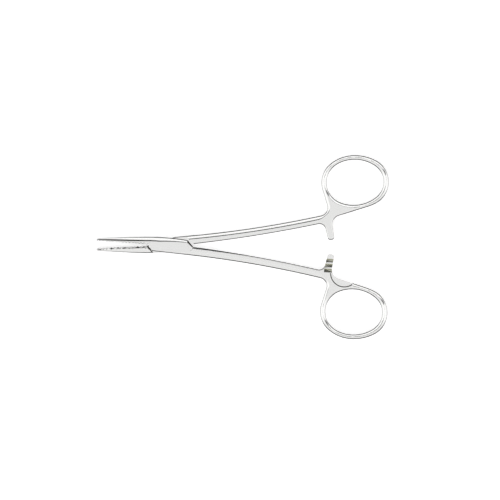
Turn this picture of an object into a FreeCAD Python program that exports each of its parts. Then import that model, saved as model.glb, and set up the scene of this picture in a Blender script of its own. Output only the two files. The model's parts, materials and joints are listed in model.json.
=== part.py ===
"""Straight fine-jawed haemostatic forceps with a box lock, finger rings and a ratchet.

Two forged halves cross at the box lock. Both come from one blank, turned over: the box half has
two cheeks with a slot between them, and the tenon half has a thin tenon that passes through that
slot. A pin, ground flush, holds them. Each half is modelled closed, with its shank and ring on +Y,
its jaw on -Y, its ratchet arm in the upper level and the mid-plane at Z = 0. Its placement turns
the box half over, opens the pair to the angle in which it lies and lifts it onto the floor.
Millimetres; X runs along the instrument with the pivot at 0 and the jaw tips on -X.
"""
import FreeCAD, Part
import math
import os
import re
import Sketcher

os.makedirs("parts", exist_ok=True)
doc = FreeCAD.newDocument("Haemostat")

# The finest difference that counts as a length
TINY = 1e-4

# Driving dimensions
sheet = doc.addObject("Spreadsheet::Sheet", "Sizes")
sheet.Label = "Sizes"
SIZES = {
    # Pose, and how far the halves open from closed
    "rest_opening": 6.2,
    "opening_limit": 56.0,
    # Box lock
    "box_thickness": 4.0,
    "box_front_x": -8.75,
    "box_nose_x": -6.87,
    "box_nose_y": 2.85,
    "box_crotch_x": 10.4,
    "box_heel_x": 7.98,
    "box_heel_y": -2.62,
    "box_jaw_side_radius": 88.0,
    "shoulder_gap": 0.25,
    "tenon_thickness": 1.5,
    "tenon_half_width": 2.5,
    "tenon_tilt": 15.0,
    "slot_side_clearance": 0.06,
    "slot_face_clearance": 0.05,
    "pin_diameter": 2.2,
    "pin_running_clearance": 0.04,
    # Jaws
    "jaw_root_x": -9.2,
    "jaw_root_width": 2.93,
    "jaw_middle_x": -16.0,
    "jaw_middle_width": 2.42,
    "jaw_middle_thickness": 3.2,
    "jaw_tip_x": -30.4,
    "jaw_tip_width": 0.98,
    "jaw_tip_thickness": 1.7,
    "jaw_root_rounding": 1.7,
    "jaw_middle_rounding": 1.4,
    "jaw_tip_rounding": 0.7,
    "serration_pitch": 1.38,
    "serration_depth": 0.46,
    "serration_land": 0.2,
    "serration_mesh_clearance": 0.04,
    "serration_start_x": -10.3,
    "serration_count": 15,
    "serration_end_x": -8.6,
    # Shank
    "handle_thickness": 3.2,
    "shank_outer_x": 10.0,
    "shank_outer_y": 3.68,
    "shank_inner_y": 0.06,
    "shank_inner_radius": 556.0,
    "shank_end_x": 69.0,
    "shank_outer_end_y": 10.45,
    "shank_inner_end_y": 7.08,
    "taper_start_x": 12.0,
    "taper_end_x": 22.0,
    # Finger ring: its hole from the widest place to the shank end, the far end and a side. The
    # radius of an end is the half width less its tightening.
    "ring_past_shank": 10.4,
    "ring_y": 23.1,
    "hole_shank_reach": 11.5,
    "hole_far_reach": 12.4,
    "hole_half_width": 9.55,
    "hole_shank_tightening": 0.55,
    "hole_far_tightening": 1.35,
    "ring_end_tightening": 1.05,
    "ring_wire": 2.35,
    "ring_outer_side_wire": 1.9,
    "ring_inner_side_wire": 1.7,
    # The web that joins it to the shank spreads from one point
    "web_root_setback": 0.04,
    "web_root_y": 8.42,
    "web_outer_fillet": 3.4,
    "web_arm_fillet": 3.8,
    "shank_arm_fillet": 2.7,
    "rim_bevel": 0.65,
    # Ratchet arm: how far its two sides lie before and past the shank's end, at its root and tip
    "arm_before_shank_end": 3.5,
    "arm_past_shank_end": 0.1,
    "arm_tip_before_shank_end": 1.6,
    "arm_tip_past_shank_end": 1.2,
    "arm_tip_y": -0.7,
    "arm_root_y": 9.3,
    "arm_tip_rounding": 1.1,
    "arm_parting_clearance": 0.03,
    "undercut_before_shank_end": 2.8,
    "undercut_past_shank_end": 3.6,
    "tooth_start_y": 1.33,
    "tooth_pitch": 2.1,
    "tooth_ramp": 1.5,
    "tooth_depth": 0.6,
    "tooth_count": 3,
    "tooth_run_out": 0.3,
    "web_relief_past_shank": 5.8,
    "web_relief_y": 7.0,
    "web_relief_radius": 5.6,
}
for row, (name, value) in enumerate(SIZES.items(), start=1):
    sheet.set("A%d" % row, name)
    sheet.set("B%d" % row, str(value))
    sheet.setAlias("B%d" % row, name)
doc.recompute()


def size(name):
    """The present value of one named cell."""
    return float(sheet.get(name))


def cells(text):
    """An expression in cell names, with each name pointed at the sheet."""
    def pointed(word):
        return "Sizes." + word.group() if word.group() in SIZES else word.group()

    return re.sub("[a-z_]+", pointed, text)


def origin_plane(body, role):
    """One of the body's own origin planes, such as XY_Plane."""
    return next(item for item in body.Origin.OriginFeatures if item.Role == role)


def new_sketch(body, name, role="XY_Plane", offset=None):
    """A sketch on one of the body's origin planes, moved along its normal by a cell expression."""
    sketch = body.newObject("Sketcher::SketchObject", name)
    sketch.AttachmentSupport = [(origin_plane(body, role), "")]
    sketch.MapMode = "FlatFace"
    if offset:
        sketch.setExpression(".AttachmentOffset.Base.z", cells(offset))
    doc.recompute()
    return sketch


def bind(sketch, constraint, expression):
    """Adds one constraint whose value follows a cell expression."""
    index = sketch.addConstraint(constraint)
    sketch.setExpression("Constraints[%d]" % index, cells(expression))


def value_of(sketch, expression):
    """What a cell expression is worth now."""
    return float(sketch.evalExpression(cells(expression)))


def bulge(start, end, radius):
    """The middle of an arc; a positive radius bulges to the right of the way from start to end."""
    chord = end - start
    across = FreeCAD.Vector(chord.y, -chord.x, 0).normalize()
    rise = abs(radius) - math.sqrt(radius**2 - chord.Length**2 / 4)
    return start + chord / 2 + across * math.copysign(rise, radius)


def smooth_middle(joint, far, neighbour):
    """The middle of the arc from joint to far that leaves the line joint to neighbour smoothly."""
    along = (joint - neighbour).normalize()
    across = FreeCAD.Vector(-along.y, along.x, 0)
    reach = far - joint
    centre = joint + across * (reach.Length**2 / (2 * across.dot(reach)))
    outward = ((joint + far) / 2 - centre).normalize()
    return centre + outward * (joint - centre).Length


def outline(sketch, corners, arcs=None, smooth=None):
    """A closed outline through corners, each a pair of cell expressions.

    arcs gives the sides that are arcs, as side number to radius expression, where a leading
    minus makes the arc bulge to the left of the way round. smooth lists the sides that are arcs
    and run smoothly into the straight side after them.
    """
    arcs = arcs or {}
    smooth = smooth or []
    points = [FreeCAD.Vector(value_of(sketch, x), value_of(sketch, y), 0) for x, y in corners]
    total = len(points)
    ends = []
    for side, start in enumerate(points):
        end = points[(side + 1) % total]
        middle = None
        if side in arcs:
            middle = bulge(start, end, value_of(sketch, arcs[side]))
        if side in smooth:
            middle = smooth_middle(end, start, points[(side + 2) % total])
        if middle is None:
            geo = sketch.addGeometry(Part.LineSegment(start, end), False)
            ends.append((geo, 1, 2))
            continue
        # A sketch's arcs run anticlockwise, so a clockwise side is drawn from its end
        clockwise = (middle - start).cross(end - middle).z < 0
        arc = Part.Arc(end, middle, start) if clockwise else Part.Arc(start, middle, end)
        geo = sketch.addGeometry(arc, False)
        ends.append((geo, 2, 1) if clockwise else (geo, 1, 2))
    for side in range(total):
        geo, _, tail = ends[side]
        after, after_head, _ = ends[(side + 1) % total]
        kind = "Tangent" if side in smooth else "Coincident"
        sketch.addConstraint(Sketcher.Constraint(kind, geo, tail, after, after_head))
    for (geo, head, _), point, (x, y) in zip(ends, points, corners):
        bind(sketch, Sketcher.Constraint("DistanceX", -1, 1, geo, head, point.x), x)
        bind(sketch, Sketcher.Constraint("DistanceY", -1, 1, geo, head, point.y), y)
    for side, radius in arcs.items():
        present = abs(value_of(sketch, radius))
        bind(sketch, Sketcher.Constraint("Radius", ends[side][0], present), "abs(%s)" % radius)


def circle(sketch, x, y, radius):
    """A circle about a point, all from cell expressions."""
    centre = FreeCAD.Vector(value_of(sketch, x), value_of(sketch, y), 0)
    present = value_of(sketch, radius)
    geo = sketch.addGeometry(Part.Circle(centre, FreeCAD.Vector(0, 0, 1), present), False)
    bind(sketch, Sketcher.Constraint("DistanceX", -1, 1, geo, 3, centre.x), x)
    bind(sketch, Sketcher.Constraint("DistanceY", -1, 1, geo, 3, centre.y), y)
    bind(sketch, Sketcher.Constraint("Radius", geo, present), radius)


def oval(sketch, x, y, reaches, radii):
    """An egg of six arcs about its widest place.

    reaches are how far it goes to -X, +X, +Y and -Y, and radii those of its -X and +X ends, all
    cell expressions. Each end arc runs smoothly into a flatter arc on either side of it.
    """
    middle = FreeCAD.Vector(value_of(sketch, x), value_of(sketch, y), 0)
    near, far, up, down = [value_of(sketch, reach) for reach in reaches]
    near_radius, far_radius = [value_of(sketch, radius) for radius in radii]

    def end_centre(toward):
        reach, radius = (far, far_radius) if toward > 0 else (near, near_radius)
        return middle + FreeCAD.Vector(toward * (reach - radius), 0, 0)

    def side_arc(toward, side):
        """The centre and radius of the flatter arc in one quarter."""
        reach, radius = (far, far_radius) if toward > 0 else (near, near_radius)
        width = up if side > 0 else down
        drop = ((reach - radius) ** 2 - (width - radius) ** 2) / (2 * (width - radius))
        return middle - FreeCAD.Vector(0, side * drop, 0), width + drop

    def joint(toward, side):
        """Where a quarter's flatter arc meets the end arc."""
        centre, radius = side_arc(toward, side)
        return centre + (end_centre(toward) - centre).normalize() * radius

    def arc(centre, start, end):
        across = ((start - centre) + (end - centre)).normalize()
        return Part.Arc(start, centre + across * (start - centre).Length, end)

    top = middle + FreeCAD.Vector(0, up, 0)
    bottom = middle - FreeCAD.Vector(0, down, 0)
    geos = sketch.addGeometry([
        arc(end_centre(1), joint(1, -1), joint(1, 1)),
        arc(side_arc(1, 1)[0], joint(1, 1), top),
        arc(side_arc(-1, 1)[0], top, joint(-1, 1)),
        arc(end_centre(-1), joint(-1, 1), joint(-1, -1)),
        arc(side_arc(-1, -1)[0], joint(-1, -1), bottom),
        arc(side_arc(1, -1)[0], bottom, joint(1, -1)),
    ], False)
    for geo, after in zip(geos, geos[1:] + geos[:1]):
        sketch.addConstraint(Sketcher.Constraint("Tangent", geo, 2, after, 1))
    far_end, top_arc, _, near_end, bottom_arc, _ = geos
    for geo in (top_arc, bottom_arc):
        sketch.addConstraint(Sketcher.Constraint("Vertical", geo, 3, geo, 2))
    places = [
        (far_end, 3, end_centre(1), "%s + %s - %s" % (x, reaches[1], radii[1]), y),
        (near_end, 3, end_centre(-1), "%s - (%s) + %s" % (x, reaches[0], radii[0]), y),
        (top_arc, 2, top, x, "%s + %s" % (y, reaches[2])),
        (bottom_arc, 2, bottom, x, "%s - (%s)" % (y, reaches[3])),
    ]
    for geo, end, point, across, along in places:
        bind(sketch, Sketcher.Constraint("DistanceX", -1, 1, geo, end, point.x), across)
        bind(sketch, Sketcher.Constraint("DistanceY", -1, 1, geo, end, point.y), along)
    bind(sketch, Sketcher.Constraint("Radius", near_end, near_radius), radii[0])
    bind(sketch, Sketcher.Constraint("Radius", far_end, far_radius), radii[1])


def tangent_point(centre, radius, point, turn):
    """Where a line from a point touches a circle, as two cell expressions; turn is + or -."""
    across = "(%s - (%s))" % (point[0], centre[0])
    along = "(%s - (%s))" % (point[1], centre[1])
    angle = "(atan2(%s; %s) %s acos((%s) / hypot(%s; %s)))" % (
        along, across, turn, radius, across, along)
    x = "%s + (%s) * cos(%s)" % (centre[0], radius, angle)
    y = "%s + (%s) * sin(%s)" % (centre[1], radius, angle)
    return x, y


def pad(body, name, sketch, thickness):
    """Material on both sides of the sketch, thickness in all."""
    feature = body.newObject("PartDesign::Pad", name)
    feature.Profile = sketch
    feature.Midplane = True
    feature.setExpression("Length", cells(thickness))
    doc.recompute()
    return feature


def pocket(body, name, sketch, depth=None, down=False):
    """A cut to both sides of the sketch, right through unless a depth is given."""
    feature = body.newObject("PartDesign::Pocket", name)
    feature.Profile = sketch
    before = body.Shape.Volume
    if depth is None:
        feature.Type = "ThroughAll"
        feature.Midplane = True
    else:
        feature.Type = "Length"
        feature.Midplane = not down
        feature.setExpression("Length", cells(depth))
    doc.recompute()
    if body.Shape.Volume > before - TINY:
        raise RuntimeError(name + " cuts nothing")
    return feature


def dress_edges(body, name, kind, wanted, value):
    """A fillet or a chamfer on every edge of the body's tip that wanted accepts."""
    base = body.Tip
    names = ["Edge%d" % (i + 1) for i, edge in enumerate(base.Shape.Edges) if wanted(edge)]
    if not names:
        raise RuntimeError(name + " finds no edge")
    feature = body.newObject("PartDesign::" + kind, name)
    feature.Base = (base, names)
    feature.setExpression("Radius" if kind == "Fillet" else "Size", cells(value))
    doc.recompute()
    return feature


def round_edges(body, name, wanted, radius):
    """A fillet on every edge of the body's tip that wanted accepts."""
    return dress_edges(body, name, "Fillet", wanted, radius)


def upright_edge_near(body, x, y):
    """A test for the upright edges of the body's tip that stand nearest to a point."""

    def upright(edge):
        return edge.BoundBox.XLength + edge.BoundBox.YLength < TINY

    spot = FreeCAD.Vector(x, y, 0)

    def distance(edge):
        centre = edge.CenterOfMass
        return (FreeCAD.Vector(centre.x, centre.y, 0) - spot).Length

    nearest = min(distance(edge) for edge in body.Tip.Shape.Edges if upright(edge))

    def wanted(edge):
        return upright(edge) and distance(edge) < nearest + TINY

    return wanted


# The gap at a shoulder, measured along X
SHOULDER_SHIFT = "shoulder_gap * hypot(box_crotch_x - box_heel_x; box_heel_y) / abs(box_heel_y)"
SHOULDER_LEAN = "((box_crotch_x - box_heel_x) / abs(box_heel_y))"
SIDE_SLOPE = "((shank_outer_y - box_nose_y) / (shank_outer_x - box_nose_x))"
TIP_PLANE = "(serration_depth - serration_mesh_clearance) / 2"

# Ring, web and arm take their places from the end of the shank
RING_X = "(shank_end_x + ring_past_shank)"
WEB_ROOT = ("(shank_end_x - web_root_setback)", "web_root_y")
ARM_LEFT_X = "(shank_end_x - arm_before_shank_end)"
ARM_RIGHT_X = "(shank_end_x + arm_past_shank_end)"
ARM_TIP_LEFT_X = "(shank_end_x - arm_tip_before_shank_end)"
ARM_TIP_RIGHT_X = "(shank_end_x + arm_tip_past_shank_end)"

# The finger hole's reaches to its shank end, its far end and its sides, with the ends' radii
HOLE_REACHES = ["hole_shank_reach", "hole_far_reach", "hole_half_width", "hole_half_width"]
HOLE_RADII = ["(hole_half_width - hole_shank_tightening)", "(hole_half_width - hole_far_tightening)"]

# The same for the ring's outside
RING_REACHES = [
    "(hole_shank_reach + ring_wire)",
    "(hole_far_reach + ring_wire)",
    "(hole_half_width + ring_outer_side_wire)",
    "(hole_half_width + ring_inner_side_wire)",
]
RING_END_RADIUS = "(hole_half_width + ring_inner_side_wire - ring_end_tightening)"


def shank_and_box(body, with_box):
    """The flat blank from the box lock to the end of the shank."""
    sketch = new_sketch(body, "ShankOutline")
    shank_end = [
        ("shank_end_x", "shank_inner_end_y"),
        ("shank_end_x", "shank_outer_end_y"),
        ("shank_outer_x", "shank_outer_y"),
    ]
    if with_box:
        corners = [("box_crotch_x", "shank_inner_y")] + shank_end + [
            ("box_nose_x", "box_nose_y"),
            ("box_front_x", "0"),
            ("jaw_root_x", "0"),
            ("jaw_root_x", "-jaw_root_width"),
            ("box_heel_x", "box_heel_y"),
        ]
        arcs = {0: "shank_inner_radius", 7: "box_jaw_side_radius"}
    else:
        foot = "(box_heel_x + %s - box_heel_y * %s)" % (SHOULDER_SHIFT, SHOULDER_LEAN)
        shoulder_y = "((shank_outer_y - (shank_outer_x - %s) * %s) / (1 + %s * %s))" % (
            foot, SIDE_SLOPE, SIDE_SLOPE, SHOULDER_LEAN)
        shoulder_x = "%s - %s * %s" % (foot, shoulder_y, SHOULDER_LEAN)
        corners = [("box_crotch_x + " + SHOULDER_SHIFT, "shank_inner_y")] + shank_end + [
            (shoulder_x, shoulder_y),
        ]
        arcs = {0: "shank_inner_radius"}
    outline(sketch, corners, arcs, smooth=[2])
    pad(body, "ShankBlank", sketch, "box_thickness")

    taper = new_sketch(body, "ThicknessTaper", "XZ_Plane")
    for side in ("", "-"):
        outline(taper, [
            ("taper_start_x", side + "box_thickness / 2"),
            ("taper_end_x", side + "handle_thickness / 2"),
            ("shank_end_x", side + "handle_thickness / 2"),
            ("shank_end_x", side + "box_thickness"),
            ("taper_start_x", side + "box_thickness"),
        ])
    pocket(body, "ShankTaper", taper)


def finger_ring_and_arm(body):
    """The finger ring, the web that joins it to the shank, and the ratchet arm."""
    ring = new_sketch(body, "RingOutline")
    oval(ring, RING_X, "ring_y", RING_REACHES, [RING_END_RADIUS, RING_END_RADIUS])
    pad(body, "RingBlank", ring, "handle_thickness")

    # The web's two edges leave its root and touch the ring's shank end and its inner side
    shank_reach, far_reach, _, inner_reach = RING_REACHES
    end_centre = ("(%s - %s + %s)" % (RING_X, shank_reach, RING_END_RADIUS), "ring_y")
    rise = "((pow(%s - %s; 2) - pow(ring_end_tightening; 2)) / (2 * ring_end_tightening))" % (
        far_reach, RING_END_RADIUS)
    side_centre = (RING_X, "(ring_y + %s)" % rise)
    web = new_sketch(body, "WebOutline")
    outline(web, [
        tangent_point(end_centre, RING_END_RADIUS, WEB_ROOT, "-"),
        WEB_ROOT,
        tangent_point(side_centre, "%s + %s" % (inner_reach, rise), WEB_ROOT, "+"),
    ])
    pad(body, "WebBlank", web, "handle_thickness")

    arm = new_sketch(body, "ArmOutline")
    outline(arm, [
        (ARM_TIP_LEFT_X, "arm_tip_y"),
        (ARM_TIP_RIGHT_X, "arm_tip_y"),
        (ARM_RIGHT_X, "arm_root_y"),
        (ARM_LEFT_X, "arm_root_y"),
    ])
    pad(body, "ArmBlank", arm, "handle_thickness")

    hole = new_sketch(body, "RingHole")
    oval(hole, RING_X, "ring_y", HOLE_REACHES, HOLE_RADII)
    pocket(body, "FingerHole", hole)

    # The corners where shank, web and arm meet, and the arm's tip
    corners = [
        ("WebOuterCorner", "shank_end_x", "shank_outer_end_y", "web_outer_fillet"),
        ("ShankArmCorner", ARM_LEFT_X, "shank_inner_end_y", "shank_arm_fillet"),
        ("WebArmCorner", ARM_RIGHT_X, "arm_root_y", "web_arm_fillet"),
        ("ArmTipLeft", ARM_TIP_LEFT_X, "arm_tip_y", "arm_tip_rounding"),
        ("ArmTipRight", ARM_TIP_RIGHT_X, "arm_tip_y", "arm_tip_rounding"),
    ]
    for name, x, y, radius in corners:
        wanted = upright_edge_near(body, value_of(arm, x), value_of(arm, y))
        round_edges(body, name, wanted, radius)


def bevel_the_rims(body):
    """Bevels the top and bottom rims of the shank, web, ring and arm."""
    level = size("handle_thickness") / 2 - TINY
    box_side = size("box_nose_y") - size("shoulder_gap")

    def wanted(edge):
        centre = edge.CenterOfMass
        across = edge.BoundBox.XLength < TINY
        behind = centre.x > size("box_crotch_x") + size("shoulder_gap") or centre.y > box_side
        return abs(centre.z) > level and behind and not across

    dress_edges(body, "RimBevel", "Chamfer", wanted, "rim_bevel")


def jaw_side(edge):
    """A test for the long rims on the jaw's side of the box."""
    centre = edge.CenterOfMass
    low = centre.y < size("box_heel_y") and abs(centre.z) > size("box_thickness") / 2 - TINY
    return low and edge.BoundBox.XLength > size("shoulder_gap")


def ratchet(body):
    """Leaves the arm in the upper level with its teeth facing down, and cuts the web back."""
    thin_end = "tooth_start_y + (tooth_count - 1) * tooth_pitch + tooth_ramp + tooth_run_out"
    lower = new_sketch(body, "LowerLevel", offset="arm_parting_clearance")
    outline(lower, [
        ("shank_end_x - undercut_before_shank_end", "arm_tip_y - arm_tip_rounding"),
        ("shank_end_x + undercut_past_shank_end", "arm_tip_y - arm_tip_rounding"),
        ("shank_end_x + undercut_past_shank_end", thin_end),
        ("shank_end_x - undercut_before_shank_end", thin_end),
    ])
    pocket(body, "ArmUnderside", lower, "box_thickness", down=True)
    relief = new_sketch(body, "WebRelief", offset="arm_parting_clearance")
    circle(relief, "shank_end_x + web_relief_past_shank", "web_relief_y", "web_relief_radius")
    pocket(body, "WebCutBack", relief, "box_thickness", down=True)

    # A gap between teeth: upright on the tip side, a ramp on the other
    middle = "shank_end_x + (undercut_past_shank_end - undercut_before_shank_end) / 2"
    gap = new_sketch(body, "ToothGap", "YZ_Plane", offset=middle)
    outline(gap, [
        ("tooth_start_y", "arm_parting_clearance - tooth_depth"),
        ("tooth_start_y", "arm_parting_clearance + tooth_depth"),
        ("tooth_start_y + tooth_ramp", "arm_parting_clearance"),
        ("tooth_start_y + tooth_ramp", "arm_parting_clearance - tooth_depth"),
    ])
    width = "undercut_before_shank_end + undercut_past_shank_end"
    first = pocket(body, "FirstToothGap", gap, width)
    repeat(body, "ToothGaps", first, gap, "tooth_pitch", "tooth_count")


def repeat(body, name, feature, sketch, pitch, count, backwards=False):
    """Repeats a feature along its sketch's first axis."""
    pattern = body.newObject("PartDesign::LinearPattern", name)
    pattern.Originals = [feature]
    pattern.Direction = (sketch, ["H_Axis"])
    pattern.Reversed = backwards
    pattern.Mode = "Spacing"
    pattern.setExpression("Offset", cells(pitch))
    pattern.setExpression("Occurrences", cells(count))
    body.Tip = pattern
    doc.recompute()
    return pattern


def jaw(body, shift):
    """The serrated jaw; shift moves its grooves along so that the two jaws mesh."""
    sections = []
    for place in ("root", "middle", "tip"):
        x = "jaw_%s_x" % place
        width = "jaw_%s_width" % place
        half = "box_thickness / 2" if place == "root" else "jaw_%s_thickness / 2" % place
        corner = "jaw_%s_rounding" % place
        section = new_sketch(body, "Jaw" + place.title(), "YZ_Plane", offset=x)
        outline(section, [
            (TIP_PLANE, "-" + half),
            (TIP_PLANE, half),
            ("-%s + %s" % (width, corner), half),
            ("-" + width, "%s - %s" % (half, corner)),
            ("-" + width, "-%s + %s" % (half, corner)),
            ("-%s + %s" % (width, corner), "-" + half),
        ], {2: "-" + corner, 4: "-" + corner})
        sections.append(section)
    loft = body.newObject("PartDesign::AdditiveLoft", "JawForm")
    loft.Profile = sections[0]
    loft.Sections = sections[1:]
    loft.Ruled = True
    doc.recompute()

    half_pitch = "%s * serration_pitch / 2" % shift
    centre = "serration_start_x - " + half_pitch
    wide = "(serration_pitch - serration_land) / 2"
    narrow = "serration_land / 2"
    groove = new_sketch(body, "Groove")
    outline(groove, [
        ("%s - %s" % (centre, wide), TIP_PLANE),
        ("%s - %s" % (centre, narrow), TIP_PLANE + " - serration_depth"),
        ("%s + %s" % (centre, narrow), TIP_PLANE + " - serration_depth"),
        ("%s + %s" % (centre, wide), TIP_PLANE),
        ("%s + %s" % (centre, wide), TIP_PLANE + " + serration_depth"),
        ("%s - %s" % (centre, wide), TIP_PLANE + " + serration_depth"),
    ])
    first = pocket(body, "FirstGroove", groove)
    repeat(body, "Serrations", first, groove, "serration_pitch", "serration_count", backwards=True)

    heel = new_sketch(body, "JawHeel")
    outline(heel, [
        ("serration_start_x + serration_land / 2", "-serration_mesh_clearance / 2"),
        ("serration_end_x", "-serration_mesh_clearance / 2"),
        ("serration_end_x", "serration_depth"),
        ("serration_start_x + serration_land / 2", "serration_depth"),
    ])
    pocket(body, "JawHeelRelief", heel)


def bore(body, name, radius):
    """The hole for the pin."""
    sketch = new_sketch(body, name + "Outline")
    circle(sketch, "0", "0", radius)
    pocket(body, name, sketch)


def box_half():
    """The half whose two cheeks make the box, with its slot and the riveted bore."""
    body = doc.addObject("PartDesign::Body", "BoxHalf")
    body.Label = "box_half"
    shank_and_box(body, with_box=True)
    finger_ring_and_arm(body)
    bevel_the_rims(body)
    ratchet(body)

    round_edges(body, "JawSideRounding", jaw_side, "jaw_root_rounding")
    jaw(body, shift=0)

    # The slot lets the tenon turn from closed to fully open, and stops it there
    reach = "(tenon_half_width + slot_side_clearance)"
    corner = reach + " / cos(opening_limit / 2 * 1 deg)"
    corner_angle = "((90 + tenon_tilt + opening_limit / 2) * 1 deg)"
    stop_angle = "((tenon_tilt + opening_limit) * 1 deg)"
    rest_angle = "(tenon_tilt * 1 deg)"
    far = "(box_crotch_x + box_thickness)"
    slot = new_sketch(body, "SlotOutline")
    half = [
        ("%s * cos(%s)" % (corner, corner_angle), "-%s * sin(%s)" % (corner, corner_angle)),
        (
            "%s * cos(%s) + %s * cos(%s)" % (corner, corner_angle, far, stop_angle),
            "-%s * sin(%s) - %s * sin(%s)" % (corner, corner_angle, far, stop_angle),
        ),
        (far, "-" + far),
        (
            "-(%s) * cos(%s) + %s" % (corner, corner_angle, far),
            "%s * sin(%s) - %s * tan(%s)" % (corner, corner_angle, far, rest_angle),
        ),
    ]
    other = [("-(%s)" % x, "-(%s)" % y) for x, y in half]
    outline(slot, half + other)
    pocket(body, "TenonSlot", slot, "tenon_thickness + 2 * slot_face_clearance")
    bore(body, "RivetBore", "pin_diameter / 2")
    return body


def tenon_half():
    """The half whose thin tenon passes through the box and turns on the pin."""
    body = doc.addObject("PartDesign::Body", "TenonHalf")
    body.Label = "tenon_half"
    shank_and_box(body, with_box=False)
    finger_ring_and_arm(body)
    bevel_the_rims(body)
    ratchet(body)
    tenon = new_sketch(body, "TenonOutline")
    edge = "tenon_half_width / cos(tenon_tilt * 1 deg)"
    lean = "tan(tenon_tilt * 1 deg)"
    top_x = "((shank_outer_y - shank_outer_x * %s - %s) / (%s - %s))" % (SIDE_SLOPE, edge, lean, SIDE_SLOPE)
    inside = "(box_crotch_x + 2 * %s)" % SHOULDER_SHIFT
    outline(tenon, [
        (inside, "%s * %s - %s" % (inside, lean, edge)),
        ("shank_outer_x", "shank_outer_y"),
        (top_x, "%s * %s + %s" % (top_x, lean, edge)),
        ("jaw_root_x", "jaw_root_x * %s + %s" % (lean, edge)),
        ("jaw_root_x", "-jaw_root_width"),
        ("(%s - jaw_root_width) / %s" % (edge, lean), "-jaw_root_width"),
    ])
    pad(body, "Tenon", tenon, "tenon_thickness")
    root = new_sketch(body, "JawShoulder")
    nose_lean = "(box_front_x - box_nose_x) / box_nose_y"
    front = "(box_front_x - shoulder_gap * hypot(box_front_x - box_nose_x; box_nose_y) / box_nose_y)"
    outline(root, [
        ("jaw_root_x", "0"),
        ("jaw_root_x", "-jaw_root_width"),
        ("%s - jaw_root_width * (%s)" % (front, nose_lean), "-jaw_root_width"),
        (front, "0"),
    ])
    pad(body, "JawRoot", root, "box_thickness")
    round_edges(body, "JawSideRounding", jaw_side, "jaw_root_rounding")
    jaw(body, shift=1)
    bore(body, "PinBore", "pin_diameter / 2 + pin_running_clearance")
    return body


def pivot_pin():
    """The rivet, ground flush with both cheeks."""
    body = doc.addObject("PartDesign::Body", "PivotPin")
    body.Label = "pivot_pin"
    sketch = new_sketch(body, "PinOutline")
    circle(sketch, "0", "0", "pin_diameter / 2")
    pad(body, "PinBlank", sketch, "box_thickness")
    return body


UPWARD = "vector(0; 0; box_thickness / 2)"
TURN = "rotation(vector(0; 0; 1); %srest_opening / 2)"
pieces = [
    (box_half(), TURN % "-" + " * rotation(vector(1; 0; 0); 180)"),
    (tenon_half(), TURN % ""),
    (pivot_pin(), TURN % "-"),
]
for body, turn in pieces:
    body.setExpression("Placement", cells("placement(%s; %s)" % (UPWARD, turn)))
doc.recompute()

for item in doc.Objects:
    if "Invalid" in item.State or "Error" in item.State:
        raise RuntimeError("%s failed: %s" % (item.Name, item.State))
for body, _ in pieces:
    shape = body.Shape
    if shape.isNull() or not shape.isValid() or len(shape.Solids) != 1:
        raise RuntimeError(body.Label + " is not one valid solid")
    shape.exportStep("parts/%s.step" % body.Label)
    box = shape.BoundBox
    print("%-12s %9.2f mm3  %.2f x %.2f x %.2f mm" % (
        body.Label, shape.Volume, box.XLength, box.YLength, box.ZLength))
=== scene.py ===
# %% [markdown]
# Haemostatic forceps: a lesson in smooth steel.
#
# A pair of fine forceps is two forged halves of stainless steel that cross at a box lock. Almost
# everything that the eye reads on such a thing is the way its polished sides roll over: a flat face,
# a soft bend, a bright flank and a dark line at the outline. A fillet cut in facets can't show that,
# so this lesson works out each half as a height over its plan, as whole arrays, and lets the light
# do the rest. The pin of the lock stays as it comes from the frame.

# %% The frame comes first
import json
import math

import bpy
import numpy as np
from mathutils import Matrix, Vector
from mathutils.geometry import delaunay_2d_cdt


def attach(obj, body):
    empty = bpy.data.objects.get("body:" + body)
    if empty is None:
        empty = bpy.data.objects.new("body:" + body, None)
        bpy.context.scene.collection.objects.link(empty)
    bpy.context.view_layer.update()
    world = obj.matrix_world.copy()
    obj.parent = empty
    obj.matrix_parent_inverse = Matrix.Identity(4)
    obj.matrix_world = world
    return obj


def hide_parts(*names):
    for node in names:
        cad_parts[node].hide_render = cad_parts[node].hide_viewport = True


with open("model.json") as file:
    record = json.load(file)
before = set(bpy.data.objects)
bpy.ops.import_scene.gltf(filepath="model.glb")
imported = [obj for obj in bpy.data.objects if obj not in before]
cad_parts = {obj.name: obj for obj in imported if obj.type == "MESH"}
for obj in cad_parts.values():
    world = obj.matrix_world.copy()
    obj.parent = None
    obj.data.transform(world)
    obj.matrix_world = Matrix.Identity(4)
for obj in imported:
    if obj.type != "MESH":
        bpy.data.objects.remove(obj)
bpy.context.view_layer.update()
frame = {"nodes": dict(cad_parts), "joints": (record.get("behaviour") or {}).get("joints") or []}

rest_opening = -frame["joints"][0]["range_deg"][0]
print("the halves lie", rest_opening, "degrees open")

# %% [markdown]
# Step 1: the sizes.
#
# Lengths are in millimetres until a mesh is made. Each half is drawn closed, with its pivot at the
# origin, its shank and ring towards +X and +Y and its jaw towards -X, and is turned into its place at
# the end. Working in the piece's own frame keeps every number one that could be read off a drawing.

# %% Sizes of the forging
MM = 0.001
BOX_HALF_THICKNESS = 2.0
HANDLE_HALF_THICKNESS = 1.6
TAPER_START_X, TAPER_END_X = 12.0, 22.0

BOX_NOSE = (-6.87, 2.85)
BOX_FRONT = (-8.75, 0.0)
BOX_HEEL = (7.98, -2.62)
BOX_CROTCH = (10.4, 0.06)
BOX_JAW_SIDE_RADIUS = 88.0
SHOULDER_GAP = 0.25
TENON_HALF_THICKNESS = 0.75
TENON_HALF_WIDTH = 2.5
TENON_TILT = math.radians(15)
OPENING_LIMIT = math.radians(56)
SLOT_SIDE_CLEARANCE = 0.06
SLOT_FACE_CLEARANCE = 0.05
PIN_RADIUS = 1.1
PIN_CLEARANCE = 0.04

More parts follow.
